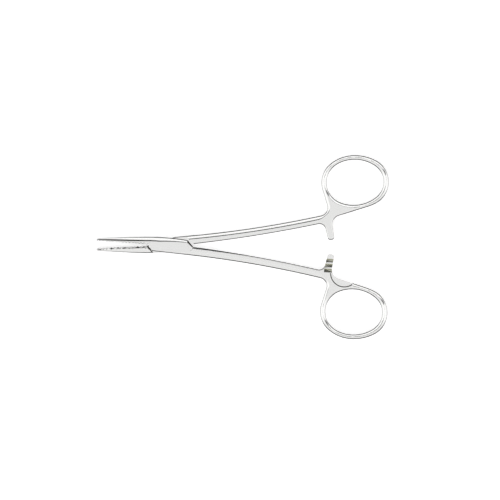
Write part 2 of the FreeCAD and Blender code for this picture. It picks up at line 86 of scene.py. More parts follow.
JAW_ROOT = (-9.2, -2.93)
JAW_MIDDLE = (-16.0, -2.42)
JAW_TIP = (-30.4, -0.98)
JAW_MIDDLE_HALF_THICKNESS = 1.6
JAW_TIP_HALF_THICKNESS = 0.85
SERRATION_PITCH = 1.38
SERRATION_DEPTH = 0.46
SERRATION_LAND = 0.2
SERRATION_START_X = -10.3
SERRATION_COUNT = 15
MESH_CLEARANCE = 0.04

SHANK_OUTER = (10.0, 3.68)
SHANK_OUTER_END = (69.0, 10.45)
SHANK_INNER_END = (69.0, 7.08)
SHANK_INNER_RADIUS = 556.0

RING_CENTRE = (79.4, 23.1)
HOLE_REACHES = (11.5, 12.4, 9.55, 9.55)
HOLE_RADII = (9.0, 8.2)
RING_WIRE = 2.35
RING_REACHES = (11.5 + RING_WIRE, 12.4 + RING_WIRE, 9.55 + 1.9, 9.55 + 1.7)
RING_RADII = (10.2, 10.2)
WEB_ROOT = (68.96, 8.42)

ARM_LEFT = ((65.5, 9.3), (67.4, -0.7))
ARM_RIGHT = ((70.2, -0.7), (69.1, 9.3))
ARM_TIP_ROUNDING = 1.1
SHANK_ARM_FILLET, WEB_ARM_FILLET, WEB_SHANK_FILLET = 2.7, 3.8, 3.4
ARM_PARTING = 0.03
UNDERCUT_X = (66.2, 72.6)
TOOTH_START_Y, TOOTH_PITCH, TOOTH_RAMP, TOOTH_DEPTH, TOOTH_COUNT = 1.33, 2.1, 1.5, 0.6, 3
TOOTH_RUN_OUT = 0.3
WEB_RELIEF_CENTRE, WEB_RELIEF_RADIUS, RELIEF_RIM = (74.8, 7.0), 5.6, 0.4
NOSE_RIM, FRONT_RIM, HEEL_RIM = 0.15, 0.3, 0.8
SEAM = 0.55

# %% [markdown]
# Step 2: paths.
#
# The outline of each half is a chain of straight runs, arcs and rounded corners, as on the drawing
# that the forging die was cut from. Each helper returns its stretch as an array of points. Points
# could be typed in by hand, but then a corner's radius would be hidden in them, and nobody could
# change it.

# %% Arcs, corners and ovals as arrays
LONGEST_STEP = 0.5
LARGEST_TURN = math.radians(4)


def vec(point):
    """A point or an offset as an array."""
    return np.array(point, float)


def arc(centre, radius, start, end):
    """Points at equal angles round a centre, from the start angle to the end angle, both included."""
    turn = abs(end - start)
    count = max(2, math.ceil(max(turn * radius / LONGEST_STEP, turn / LARGEST_TURN)) + 1)
    angles = np.linspace(start, end, count)
    return vec(centre) + radius * np.stack([np.cos(angles), np.sin(angles)], axis=1)


def run(start, end, step=LONGEST_STEP):
    """Points at equal steps along a straight line, both ends included."""
    start, end = vec(start), vec(end)
    count = max(2, math.ceil(np.linalg.norm(end - start) / step) + 1)
    return start + (end - start) * np.linspace(0, 1, count)[:, None]


def angle_of(offset):
    """The angle of an offset from +X, anticlockwise."""
    return math.atan2(offset[1], offset[0])


def shallow_arc(start, end, radius):
    """An arc of a large radius that bulges to the right of the way from start to end."""
    start, end = vec(start), vec(end)
    chord = end - start
    half = np.linalg.norm(chord) / 2
    left = np.array([-chord[1], chord[0]]) / (2 * half)
    centre = (start + end) / 2 + left * math.sqrt(radius**2 - half**2)
    return arc(centre, radius, angle_of(start - centre), angle_of(end - centre))


def smooth_arc(start, end, before):
    """The arc from start to end that carries on smoothly from the line before to start."""
    start, end, before = vec(start), vec(end), vec(before)
    along = (start - before) / np.linalg.norm(start - before)
    left = np.array([-along[1], along[0]])
    reach = end - start
    radius = reach.dot(reach) / (2 * left.dot(reach))
    centre = start + left * radius
    return arc(centre, radius, angle_of(start - centre), angle_of(end - centre))


def corner(before, at, after, radius):
    """A corner rounded with a circle that touches both of its lines."""
    before, at, after = vec(before), vec(at), vec(after)
    back = (before - at) / np.linalg.norm(before - at)
    ahead = (after - at) / np.linalg.norm(after - at)
    half = math.acos(np.clip(back.dot(ahead), -1, 1)) / 2
    middle = (back + ahead) / np.linalg.norm(back + ahead)
    centre = at + middle * radius / math.sin(half)
    first = at + back * radius / math.tan(half) - centre
    last = at + ahead * radius / math.tan(half) - centre
    start = angle_of(first)
    turn = (angle_of(last) - start + math.pi) % (2 * math.pi) - math.pi
    return arc(centre, radius, start, start + turn)


def crossing(first, second):
    """Where two lines, each given by two points, cross."""
    (a, b), (c, d) = [(vec(p), vec(q)) for p, q in (first, second)]
    share = np.linalg.solve(np.stack([b - a, c - d], axis=1), c - a)
    return a + share[0] * (b - a)


def quarters(centre, reaches, radii):
    """Six arcs of an egg, anticlockwise from its +X end, as (centre, radius, start, end).

    An end arc has the given radius; the flatter arc beside it has the radius b + k, where
    k = ((a - r)^2 - (b - r)^2) / (2 (b - r)) for a reach a, a half width b and an end radius r.
    """
    centre = vec(centre)
    ends, joints, sides = {}, {}, {}
    for toward, reach, radius in ((1, reaches[1], radii[1]), (-1, reaches[0], radii[0])):
        ends[toward] = (centre + [toward * (reach - radius), 0], radius)
        for side, width in ((1, reaches[2]), (-1, reaches[3])):
            drop = ((reach - radius) ** 2 - (width - radius) ** 2) / (2 * (width - radius))
            sides[toward, side] = (centre - [0, side * drop], width + drop)
            joints[toward, side] = angle_of(ends[toward][0] - sides[toward, side][0])
    up, down = math.pi / 2, -math.pi / 2
    full = 2 * math.pi
    return [
        (*ends[1], joints[1, -1], joints[1, 1]),
        (*sides[1, 1], joints[1, 1], up),
        (*sides[-1, 1], up, joints[-1, 1]),
        (*ends[-1], joints[-1, 1], joints[-1, -1] + full),
        (*sides[-1, -1], joints[-1, -1] + full, down + full),
        (*sides[1, -1], down, joints[1, -1]),
    ]


def joined(*stretches):
    """Stretches in one chain, with points that double up at the joints left out."""
    chain = np.concatenate(stretches)
    apart = np.linalg.norm(np.diff(chain, axis=0), axis=1) > 1e-6
    return chain[np.concatenate([[True], apart])]


# %% [markdown]
# Step 3: the handle's outline.
#
# Shank, ratchet arm, web and finger ring are one forging, and both halves share the same handle. The
# way round starts at the crotch of the lock, follows the inside of the shank to the arm, goes round
# the arm and the ring, and comes back along the outside of the shank.

# %% The handle, from the crotch to the shank's outer side
def tangent_angle(centre, radius, point, turn):
    """The angle, seen from a circle's centre, at which a line from a point touches the circle."""
    offset = vec(point) - vec(centre)
    return angle_of(offset) + turn * math.acos(radius / np.linalg.norm(offset))


def handle_outline(inner_start):
    """The handle's outline, anticlockwise, from a point on the inside of the shank."""
    inner = shallow_arc(inner_start, SHANK_INNER_END, SHANK_INNER_RADIUS)
    outer = smooth_arc(SHANK_OUTER, SHANK_OUTER_END, BOX_NOSE)[::-1]
    far_end, far_up, near_up, near_end, _, far_down = quarters(RING_CENTRE, RING_REACHES, RING_RADII)

    touch = tangent_angle(far_down[0], far_down[1], WEB_ROOT, 1)
    inner_touch = vec(far_down[0]) + far_down[1] * vec((math.cos(touch), math.sin(touch)))
    far_down = (far_down[0], far_down[1], touch, far_down[3])
    touch = tangent_angle(near_end[0], near_end[1], WEB_ROOT, -1)
    outer_touch = vec(near_end[0]) + near_end[1] * vec((math.cos(touch), math.sin(touch)))
    near_end = (near_end[0], near_end[1], near_end[2], touch % (2 * math.pi))

    shank_arm = crossing((inner[-2], inner[-1]), ARM_LEFT)
    arm_web = crossing(ARM_RIGHT, (WEB_ROOT, inner_touch))
    web_shank = crossing((WEB_ROOT, outer_touch), (outer[0], outer[1]))
    shank_corner = corner(inner[-20], shank_arm, ARM_LEFT[1], SHANK_ARM_FILLET)
    web_corner = corner(ARM_RIGHT[0], arm_web, inner_touch, WEB_ARM_FILLET)
    outer_corner = corner(outer_touch, web_shank, outer[6], WEB_SHANK_FILLET)
    tip_left = corner(ARM_LEFT[0], ARM_LEFT[1], ARM_RIGHT[0], ARM_TIP_ROUNDING)
    tip_right = corner(ARM_LEFT[1], ARM_RIGHT[0], ARM_RIGHT[1], ARM_TIP_ROUNDING)
    inner = inner[inner[:, 0] < shank_corner[0, 0] - LONGEST_STEP / 4]
    outer = outer[outer[:, 0] < outer_corner[-1, 0] - LONGEST_STEP / 4]
    return joined(
        inner,
        shank_corner,
        run(shank_corner[-1], tip_left[0]),
        tip_left,
        tip_right,
        run(tip_right[-1], web_corner[0]),
        web_corner,
        run(web_corner[-1], inner_touch),
        arc(*far_down),
        arc(*far_end),
        arc(*far_up),
        arc(*near_up),
        arc(*near_end),
        run(outer_touch, outer_corner[0]),
        outer_corner,
        outer,
    )


hole_outline = joined(*[arc(*piece) for piece in quarters(RING_CENTRE, HOLE_REACHES, HOLE_RADII)])[:-1]
print("finger hole", np.round(np.ptp(hole_outline, axis=0), 2), "mm")

# %% [markdown]
# Step 4: the jaws' outline.
#
# The teeth of the jaws are plain grooves cut straight across, with a narrow land between them. The
# grooves of one jaw sit half a pitch along from those of the other, so that they mesh when the jaws
# close. Because a groove is the same at every level, it belongs to the outline, and no cutting is
# needed.

# %% The serrated edge and the outer side
def serrated_edge(front, shift):
    """The gripping edge, from the front of the lock to the tip, as a zigzag cut by a heel and a tip."""
    top = (SERRATION_DEPTH - MESH_CLEARANCE) / 2
    wide = (SERRATION_PITCH - SERRATION_LAND) / 2
    narrow = SERRATION_LAND / 2
    heel_end = SERRATION_START_X + narrow
    heel_y = -MESH_CLEARANCE / 2
    centres = SERRATION_START_X - (np.arange(SERRATION_COUNT) + shift / 2) * SERRATION_PITCH
    x = (centres[:, None] + [wide, narrow, -narrow, -wide]).ravel()
    y = np.tile([top, top - SERRATION_DEPTH, top - SERRATION_DEPTH, top], SERRATION_COUNT)

    def height(at):
        return np.interp(at, x[::-1], y[::-1])

    meet = centres[0] + narrow + (wide - narrow) * (heel_y - y[1]) / SERRATION_DEPTH
    start = max(meet, heel_end) if height(heel_end) > heel_y else meet
    inside = (x < start - 1e-6) & (x > JAW_TIP[0] + 1e-6)
    edge = np.stack([x[inside], y[inside]], axis=1)
    first = [(front, heel_y), (start, heel_y)]
    if height(start) > heel_y + 1e-6:
        first.append((start - 0.002, height(start - 0.002)))
    last = (JAW_TIP[0], float(height(JAW_TIP[0])))
    return np.concatenate([first, edge, [last]])


def jaw_side(end):
    """The smooth outer side of the jaw, from its tip to the given end behind the root."""
    return joined(run(JAW_TIP, JAW_MIDDLE), run(JAW_MIDDLE, JAW_ROOT), end)


# %% [markdown]
# Step 5: from an outline to a rounded slab.
#
# A modifier could bevel the rim, but it can't let the bend grow from the tip of the jaw to its root,
# or let two bends share a ring's wire. Here the height of the steel at a place is the half thickness
# less a crown that depends only on the distance to the nearest side: within a width w of the side the
# surface falls away, a narrow rim with an even slope follows at the edge itself, and below that the
# side is upright. The mesh carries rows of points along those bends, and a triangulation of the plan
# joins them, so the bends stay even and the flats stay flat.

# %% Distances to a side
def nearest(points, line, closed=False):
    """The distance from each point to a polyline, and where along it, as a position in the array."""
    ends = np.roll(line, -1, axis=0) if closed else line[1:]
    starts = line if closed else line[:-1]
    along = ends - starts
    length2 = (along**2).sum(axis=1)
    distance = np.empty(len(points))
    place = np.empty(len(points))
    for block in np.array_split(np.arange(len(points)), max(1, len(points) // 1500)):
        offset = points[block][:, None] - starts[None]
        share = np.clip((offset * along).sum(axis=2) / length2, 0, 1)
        gap = offset - share[..., None] * along
        square = (gap**2).sum(axis=2)
        best = square.argmin(axis=1)
        rows = np.arange(len(block))
        distance[block] = np.sqrt(square[rows, best])
        place[block] = best + share[rows, best]
    return distance, place


def inside(points, outline):
    """Whether each point lies within a closed outline, by counting the sides to its right."""
    x, y = points[:, 0][:, None], points[:, 1][:, None]
    ends = np.roll(outline, -1, axis=0)
    x0, y0, x1, y1 = outline[:, 0], outline[:, 1], ends[:, 0], ends[:, 1]
    spans = (y0 > y) != (y1 > y)
    reach = x0 + (y - y0) * (x1 - x0) / np.where(y1 == y0, 1e-12, y1 - y0)
    return (spans & (x < reach)).sum(axis=1) % 2 == 1


# %% A side that rolls over, and the crown that it makes
CROWN_SLOPE = 0.56
CROWN_POWER, RING_POWER = 1.25, 1.12
RIM_SLOPE = 0.8
RIM_WIDTH = 0.3
RIM_ROWS = (0.5, 1.0)
BEND_ROWS = (0.1, 0.2, 0.32, 0.45, 0.58, 0.7, 0.82, 0.92, 1.0, 1.06)
LEAST_ROW, LEAST_BEND = 0.02, 0.12


class Side:
    """A stretch of outline that rolls over, with the width of its bend at each point."""

    def __init__(self, line, widths=None, closed=False, extend=(0.0, 0.0), rim=RIM_WIDTH,
                 power=CROWN_POWER):
        self.line = line
        self.rims = np.full(len(line), rim) if np.isscalar(rim) else rim
        self.powers = np.full(len(line), power) if np.isscalar(power) else power
        self.widths = self.rims if widths is None else np.maximum(widths, self.rims + LEAST_BEND)
        self.closed = closed
        first = line[0] + (line[0] - line[1]) / np.linalg.norm(line[0] - line[1]) * extend[0]
        last = line[-1] + (line[-1] - line[-2]) / np.linalg.norm(line[-1] - line[-2]) * extend[1]
        self.reach = line if closed else np.concatenate([[first], line[1:-1], [last]])

    def inward(self):
        """Unit vectors square to the side, pointing into the steel, which lies on its left."""
        if self.closed:
            along = np.roll(self.line, -1, axis=0) - np.roll(self.line, 1, axis=0)
        else:
            along = np.gradient(self.line, axis=0)
        along /= np.linalg.norm(along, axis=1)[:, None]
        return np.stack([-along[:, 1], along[:, 0]], axis=1)

    def rows(self):
        """Points in rows beside the side, at set shares of the rim and then of the bend past it."""
        depths = [self.rims * share for share in RIM_ROWS]
        if self.widths is not self.rims:
            depths += [self.rims + (self.widths - self.rims) * share for share in BEND_ROWS]
        square = self.inward()
        return np.concatenate([self.line + square * depth[:, None] for depth in depths])

    def local(self, points):
        """The distance to the side, and the bend's width, rim and power at the nearest place on it."""
        distance, place = nearest(points, self.reach, self.closed)
        count = len(self.line)
        positions = np.arange(count + 1) if self.closed else np.arange(count)
        return [distance] + [np.interp(place, positions, np.append(values, values[0])[:len(positions)])
                             for values in (self.widths, self.rims, self.powers)]

    def drop(self, points):
        """How far the surface lies below the flat at a distance from the side.

        Past the rim, in a bend of width w and power p, the drop is slope * w / p * (1 - d / w)^p,
        with d counted from the rim. The rim itself falls away evenly, RIM_SLOPE for each millimetre.
        """
        distance, width, rim, power = self.local(points)
        width = np.maximum(width - rim, 1e-6)
        share = np.clip(1 - np.clip(distance - rim, 0, None) / width, 0, None)
        crown = CROWN_SLOPE * width / power * share**power
        return crown + RIM_SLOPE * np.clip(rim - distance, 0, None)


def smoothed(values, reach, closed=False):
    """A moving average, so that a bend's width never jumps."""
    kernel = np.hanning(2 * reach + 3)[1:-1]
    kernel /= kernel.sum()
    padded = np.pad(values, reach, mode="wrap" if closed else "edge")
    return np.convolve(padded, kernel, mode="valid")


# %% The slab itself
STATIONS = [JAW_MIDDLE[0], JAW_ROOT[0], *np.arange(TAPER_START_X, TAPER_END_X + 0.5)]
STATION_STEP = 0.4
CLEAR_OF_BENDS = 1.1


def within(points, outline, holes):
    """Whether points lie in the steel, and not too near its edge."""
    keep = inside(points, outline)
    for hole in holes:
        keep &= ~inside(points, hole)
    for loop in (outline, *holes):
        keep &= nearest(points, loop, closed=True)[0] > LEAST_ROW
    return keep


def slab(outline, half_thickness, sides=(), holes=()):
    """A closed mesh with the same top and underside, as vertices and faces in millimetres."""
    loops = [outline, *holes]
    candidates = [side.rows() for side in sides]
    owner = np.repeat(np.arange(len(sides)), [len(rows) for rows in candidates])
    extra = np.concatenate(candidates)
    keep = within(extra, outline, holes)
    extra, owner = extra[keep], owner[keep]
    # A row's point is dropped where it lies in the bend of another side that is nearer
    gaps, widths = np.stack([side.local(extra)[:2] for side in sides], axis=1)
    own = gaps[owner, np.arange(len(extra))]
    extra = extra[~((gaps < widths) & (gaps < own - 1e-6)).any(axis=0)]

    across = np.arange(outline[:, 1].min(), outline[:, 1].max(), STATION_STEP)
    flat = np.array([(x, y) for x in STATIONS for y in across])
    flat = flat[within(flat, outline, holes)]
    gaps, widths = np.stack([side.local(flat)[:2] for side in sides], axis=1)
    points = np.concatenate([*loops, extra, flat[(gaps > CLEAR_OF_BENDS * widths).all(axis=0)]])
    edges = []
    start = 0
    for loop in loops:
        index = np.arange(len(loop)) + start
        edges += np.stack([index, np.roll(index, -1)], axis=1).tolist()
        start += len(loop)
    found = delaunay_2d_cdt([Vector(p) for p in points.tolist()], edges, [], 0, 1e-5)
    plan = np.array([(v.x, v.y) for v in found[0]])
    faces = np.array(found[2])
    middles = plan[faces].mean(axis=1)
    keep = inside(middles, outline)
    for hole in holes:
        keep &= ~inside(middles, hole)
    faces = faces[keep]
    a, b, c = plan[faces[:, 0]], plan[faces[:, 1]], plan[faces[:, 2]]
    turn = (b - a)[:, 0] * (c - a)[:, 1] - (b - a)[:, 1] * (c - a)[:, 0]
    faces = np.where((turn < 0)[:, None], faces[:, ::-1], faces)
    faces = faces[np.abs(turn) > 1e-9]

    height = half_thickness(plan[:, 0])
    for side in sides:
        height = np.minimum(height, half_thickness(plan[:, 0]) - side.drop(plan))
    total = len(plan)
    top = np.column_stack([plan, height])
    under = np.column_stack([plan, -height])
    halves = np.concatenate([faces[:, [0, 1]], faces[:, [1, 2]], faces[:, [2, 0]]])
    keys = np.sort(halves, axis=1)
    _, first, count = np.unique(keys[:, 0] * total + keys[:, 1], return_index=True, return_counts=True)
    rim = halves[first[count == 1]]
    walls = np.column_stack([rim[:, 0], rim[:, 0] + total, rim[:, 1] + total, rim[:, 1]])
    return np.concatenate([top, under]), faces.tolist() + (faces[:, ::-1] + total).tolist() + walls.tolist()


def forging_level(x):
    """Half the thickness along a half: jaw tip, jaw root, box, and the soft taper of the shank."""
    front = np.interp(
        x,
        [JAW_TIP[0], JAW_MIDDLE[0], JAW_ROOT[0]],
        [JAW_TIP_HALF_THICKNESS, JAW_MIDDLE_HALF_THICKNESS, BOX_HALF_THICKNESS],
    )
    share = np.clip((x - TAPER_START_X) / (TAPER_END_X - TAPER_START_X), 0, 1)
    return front - (BOX_HALF_THICKNESS - HANDLE_HALF_THICKNESS) * share**2 * (3 - 2 * share)


# %% [markdown]
# Step 6: satin stainless steel.
#
# Polished steel has hardly any colour of its own: it shows the room. What makes it steel is the fine
# grain of the last polishing belt, which runs along the instrument and stretches every reflection
# across itself, and small patches where the belt pressed harder. Both go into the roughness and a
# very low bump, from noise in object coordinates. A photograph of the steel could be laid over it
# instead, but it would bring its own light along. There are three finishes: satin where the belt
# reached; ground, rougher and with a darker, warmer colour that is painted shade, in the gaps of the
# ratchet; and milled, dull and with a near-black colour that is painted shade, in the slot, on the
# shoulders, in the seam by the front shoulder and round the web's relief.

# %% The steel's nodes
SATIN_COLOUR, SATIN_ROUGHNESS = (0.86, 0.86, 0.85), (0.09, 0.16)
# The milled colour is near black: painted shade for the slot, the shoulders, the seam and the relief's rim
MILLED_SHADE_COLOUR, MILLED_ROUGHNESS = (0.055, 0.055, 0.045), (0.40, 0.55)
# The ground colour is darker and warmer than satin: painted shade in the ratchet's tooth gaps, with a
# rougher grind
GROUND_SHADE_COLOUR, GROUND_ROUGHNESS = (0.70, 0.70, 0.60), (0.22, 0.30)
GRAIN_PER_METRE = (900, 26000, 26000)
PATCH_PER_METRE = 260


def steel_material(name, colour, roughness):
    """Steel with a grain along X and soft patches, both in the roughness and in the colour."""
    material = bpy.data.materials.new(name)
    material.use_nodes = True
    nodes, links = material.node_tree.nodes, material.node_tree.links
    shader = nodes["Principled BSDF"]
    shader.inputs["Metallic"].default_value = 1.0
    place = nodes.new("ShaderNodeTexCoord")

    stretch = nodes.new("ShaderNodeMapping")
    stretch.inputs["Scale"].default_value = GRAIN_PER_METRE
    links.new(place.outputs["Object"], stretch.inputs["Vector"])
    grain = nodes.new("ShaderNodeTexNoise")
    grain.inputs["Scale"].default_value = 1.0
    grain.inputs["Detail"].default_value = 3.0
    links.new(stretch.outputs["Vector"], grain.inputs["Vector"])

    patches = nodes.new("ShaderNodeTexNoise")
    patches.inputs["Scale"].default_value = PATCH_PER_METRE
    patches.inputs["Detail"].default_value = 4.0
    links.new(place.outputs["Object"], patches.inputs["Vector"])

    both = nodes.new("ShaderNodeMix")
    both.inputs["Factor"].default_value = 0.45
    links.new(patches.outputs["Fac"], both.inputs["A"])
    links.new(grain.outputs["Fac"], both.inputs["B"])
    rough = nodes.new("ShaderNodeMapRange")
    rough.inputs["From Min"].default_value = 0.3
    rough.inputs["From Max"].default_value = 0.7
    rough.inputs["To Min"].default_value = roughness[0]
    rough.inputs["To Max"].default_value = roughness[1]
    links.new(both.outputs["Result"], rough.inputs["Value"])
    links.new(rough.outputs["Result"], shader.inputs["Roughness"])

    tint = nodes.new("ShaderNodeValToRGB")
    tint.color_ramp.elements[0].position = 0.3
    tint.color_ramp.elements[0].color = [0.965 * c for c in colour] + [1]
    tint.color_ramp.elements[1].position = 0.7
    tint.color_ramp.elements[1].color = [*colour, 1]
    links.new(both.outputs["Result"], tint.inputs["Fac"])
    links.new(tint.outputs["Color"], shader.inputs["Base Color"])

    bump = nodes.new("ShaderNodeBump")
    bump.inputs["Strength"].default_value = 0.05
    bump.inputs["Distance"].default_value = 0.00002
    links.new(grain.outputs["Fac"], bump.inputs["Height"])
    links.new(bump.outputs["Normal"], shader.inputs["Normal"])
    return material


satin = steel_material("satin_steel", SATIN_COLOUR, SATIN_ROUGHNESS)
# Painted shade: the milled material's near-black colour darkens gaps and cut faces
milled_and_shade = steel_material("milled_steel_painted_shade", MILLED_SHADE_COLOUR, MILLED_ROUGHNESS)
ground_and_shade = steel_material("ground_steel_painted_shade", GROUND_SHADE_COLOUR, GROUND_ROUGHNESS)

# %% [markdown]
# Step 7: meshes and cuts.
#
# A cut by an exact boolean leaves the crisp corners that a milled slot has, and carries the finish of
# the cutting block over to the new faces. So the slot, the shoulders and the gaps of the teeth take
# the darker colour of the cutter, which is painted shade, while all that the belt could reach is bright.

# %% Meshes from arrays, and cuts between them
def mesh_object(name, vertices, faces, finish=satin):
    """An object in the scene with the given points, faces and finish."""
    mesh = bpy.data.meshes.new(name)
    mesh.materials.append(finish)
    mesh.from_pydata(vertices.tolist(), [], faces)
    mesh.validate()
    mesh.update()
    piece = bpy.data.objects.new(name, mesh)
    bpy.context.scene.collection.objects.link(piece)
    return piece


def block(name, rings, lying=False, finish=satin):
    """A closed block through rings of points, each with its level: along Z, or along X if lying."""
    count = len(rings[0][0])
    levels = np.repeat([at for _, at in rings], count)
    flat = np.concatenate([np.asarray(outline, float) for outline, _ in rings])
    vertices = np.column_stack([levels, flat] if lying else [flat, levels])
    index = np.arange(count)
    after = np.roll(index, -1)
    faces = [index[::-1].tolist(), (index + count * (len(rings) - 1)).tolist()]
    for start in range(0, count * (len(rings) - 1), count):
        faces += (np.column_stack([index, after, after + count, index + count]) + start).tolist()
    return mesh_object(name, vertices, faces, finish)


def prism(name, outline, low, high, lying=False, finish=satin):
    """A block with the same outline at both levels."""
    return block(name, [(outline, low), (outline, high)], lying, finish)


def combine(piece, others, operation):
    """Cuts the others from the piece, or joins them to it, and keeps the result as plain mesh."""
    for other in others:
        step = piece.modifiers.new("cut", "BOOLEAN")
        step.operation = operation
        step.solver = "EXACT"
        step.material_mode = "TRANSFER"
        step.object = other
    bpy.context.view_layer.update()
    shaped = bpy.data.meshes.new_from_object(piece.evaluated_get(bpy.context.evaluated_depsgraph_get()))
    piece.modifiers.clear()
    old = piece.data
    piece.data = shaped
    bpy.data.meshes.remove(old)
    for other in others:
        bpy.data.objects.remove(other)
    return piece


# %% [markdown]
# Step 8: the widths of the bends.
#
# The photograph shows three kinds of bend. The outside of the shank and the jaw's side of the box
# roll over widely, a good millimetre and a half. The inside of the shank, the arm and the shank's
# side of the box have only a narrow one. On the ring, the two bends share the wire and leave hardly
# any flat between them. The rims differ too: broad by the crotch, where the file took off most, and
# running out to nothing at the tip of the jaw. All of these are arrays along an outline, smoothed so
# that a width never jumps; a few bevel weights would have given steps instead.

# %% Bend widths along the handle
WIDE_BEND, NARROW_BEND, RING_BEND = 1.6, 0.5, 1.12
JAW_BEND_X = (-30.4, -16.0, -3.7, 8.0)
JAW_BENDS = (0.8, 1.75, 1.95, 1.1)
JAW_RIMS = (0.06, 0.16, 0.3, 0.3)
JAW_POWERS = (1.7, 1.4, 1.25, 1.25)
BOX_GRIP_RIM, TENON_GRIP_RIM = 0.15, 0.5
CROTCH_RIM, CROTCH_RIM_END_X = 0.7, 36.0
WIRE_SHARE = 0.49
WEB_GAP, WIRE_GAP = 8.0, 3.0
SMOOTHING, HOLE_SMOOTHING = 8, 4
BOX_OVERLAP, SHANK_MARGIN = 3.0, 0.5


def shank_middle(x):
    """The shank's middle line, halfway between its inside and its outside."""
    ends = [(BOX_CROTCH[1] + SHANK_OUTER[1]) / 2, (SHANK_INNER_END[1] + SHANK_OUTER_END[1]) / 2]
    return np.interp(x, [BOX_CROTCH[0], SHANK_INNER_END[0]], ends)


def handle_widths(line):
    """The bend's width at each point of the handle's outline, at most WIRE_SHARE of the wire's."""
    x, y = line.T
    gap = nearest(line, hole_outline, closed=True)[0]
    on_shank = (x > SHANK_OUTER[0] - BOX_OVERLAP) & (x < ARM_LEFT[0][0])
    outer = on_shank & (y > shank_middle(x)) & (y < SHANK_OUTER_END[1] + SHANK_MARGIN)
    near_ring = (gap < WEB_GAP) & (y > SHANK_OUTER_END[1])
    wanted = np.where(outer, WIDE_BEND, np.where(near_ring, RING_BEND, NARROW_BEND))
    return np.minimum(smoothed(wanted, SMOOTHING), WIRE_SHARE * gap)


def handle_rims(line):
    """The rim's width: broad on the inside of the shank by the crotch, and narrow elsewhere."""
    x, y = line.T
    broad = np.interp(x, [BOX_CROTCH[0], CROTCH_RIM_END_X], [CROTCH_RIM, RIM_WIDTH])
    return np.where(y < shank_middle(x), broad, RIM_WIDTH)


def handle_powers(line):
    """The bend's power: rounder on the ring, so that its wire has no flat."""
    gap = nearest(line, hole_outline, closed=True)[0]
    return smoothed(np.where(gap < WIRE_GAP, RING_POWER, CROWN_POWER), SMOOTHING)


def hole_side(outer):
    """The finger hole's side, whose bend takes at most WIRE_SHARE of the wire's width."""
    gap = nearest(hole_outline, outer)[0]
    widths = smoothed(np.minimum(RING_BEND, WIRE_SHARE * gap)[::-1], HOLE_SMOOTHING, closed=True)
    return Side(hole_outline[::-1].copy(), widths, closed=True, power=RING_POWER)


def jaw_bend(line):
    """The jaw's outer side, which rolls over most widely in front of the lock."""
    widths, rims, powers = [np.interp(line[:, 0], JAW_BEND_X, values)
                            for values in (JAW_BENDS, JAW_RIMS, JAW_POWERS)]
    return Side(line, widths, extend=(3, 3), rim=rims, power=powers)


def grip_sides(grip, rim):
    """The serrated edge with its rim, and the blunt end of the jaw."""
    return [Side(grip, rim=rim), Side(run(grip[-1], JAW_TIP), extend=(1, 1), rim=JAW_RIMS[0])]


# %% [markdown]
# Step 9: the box half.
#
# This half carries the box: two cheeks with a slot between them for the other half's tenon. It is one
# slab with the slot, the bore and the underside of the arm cut from it, as the real one is milled
# after forging. The slot is cut and not drawn, because two cheeks drawn apart would show a seam on
# the box's side.

# %% Cuts that both halves share
def ratchet_cuts():
    """The lower level of the arm, the gaps between its teeth and the relief of the web."""
    left, right = UNDERCUT_X
    start = ARM_LEFT[1][1] - ARM_TIP_ROUNDING
    end = TOOTH_START_Y + (TOOTH_COUNT - 1) * TOOTH_PITCH + TOOTH_RAMP + TOOTH_RUN_OUT
    below = -2 * BOX_HALF_THICKNESS
    under = [(left, start), (right, start), (right, end), (left, end)]
    cuts = [prism("under", under, below, ARM_PARTING)]
    for tooth in range(TOOTH_COUNT):
        start = TOOTH_START_Y + tooth * TOOTH_PITCH
        gap = [
            (start, ARM_PARTING - TOOTH_DEPTH),
            (start + TOOTH_RAMP, ARM_PARTING - TOOTH_DEPTH),
            (start + TOOTH_RAMP, ARM_PARTING),
            (start, ARM_PARTING + TOOTH_DEPTH),
        ]
        # The tooth gaps take the ground finish, whose darker colour is painted shade
        cuts.append(prism("gap", gap, left, right, lying=True, finish=ground_and_shade))
    relief = arc(WEB_RELIEF_CENTRE, WEB_RELIEF_RADIUS, 0, 2 * math.pi)[:-1]
    wide = arc(WEB_RELIEF_CENTRE, WEB_RELIEF_RADIUS + 2 * RELIEF_RIM, 0, 2 * math.pi)[:-1]
    # The relief's slanted rim takes the milled finish, whose near-black colour is painted shade round the
    # relief
    cuts.append(block("relief_rim", [
        (wide, -HANDLE_HALF_THICKNESS - RELIEF_RIM), (relief, -HANDLE_HALF_THICKNESS + RELIEF_RIM),
    ], finish=milled_and_shade))
    cuts.append(prism("relief", relief, below, ARM_PARTING))
    return cuts


# By default the cut faces take the milled finish, whose near-black colour is painted shade
def edge_cut(start, end, width, half_thickness=BOX_HALF_THICKNESS, finish=milled_and_shade):
    """A block beyond an edge, with the steel on the left of the way from start to end.

    Its side slants at the top and at the underside, which leaves a rim of the given width.
    """
    start, end = vec(start), vec(end)
    along = (end - start) / np.linalg.norm(end - start)
    out = np.array([along[1], -along[0]])
    rings = []
    for at, inset in ((half_thickness + RIM_SLOPE, width + 1), (half_thickness - width * RIM_SLOPE, 0)):
        rings.append(([start - out * inset, start + out * 2, end + out * 2, end - out * inset], at))
    mirrored = [(outline, -at) for outline, at in rings]
    return block("edge_cut", mirrored + rings[::-1], finish=finish)


def slot_outline():
    """The bow tie in which the tenon swings from closed to fully open."""
    reach = TENON_HALF_WIDTH + SLOT_SIDE_CLEARANCE
    half = OPENING_LIMIT / 2
    waist = reach / math.cos(half) * vec((math.cos(math.pi / 2 + TENON_TILT + half),
                                          -math.sin(math.pi / 2 + TENON_TILT + half)))
    far = BOX_CROTCH[0] + 2 * BOX_HALF_THICKNESS
    stop = TENON_TILT + OPENING_LIMIT
    side = [
        waist,
        waist + far * vec((math.cos(stop), -math.sin(stop))),
        (far, -far),
        (-waist[0] + far, -waist[1] - far * math.tan(TENON_TILT)),
    ]
    side = np.array([vec(p) for p in side])
    return np.concatenate([side, -side])


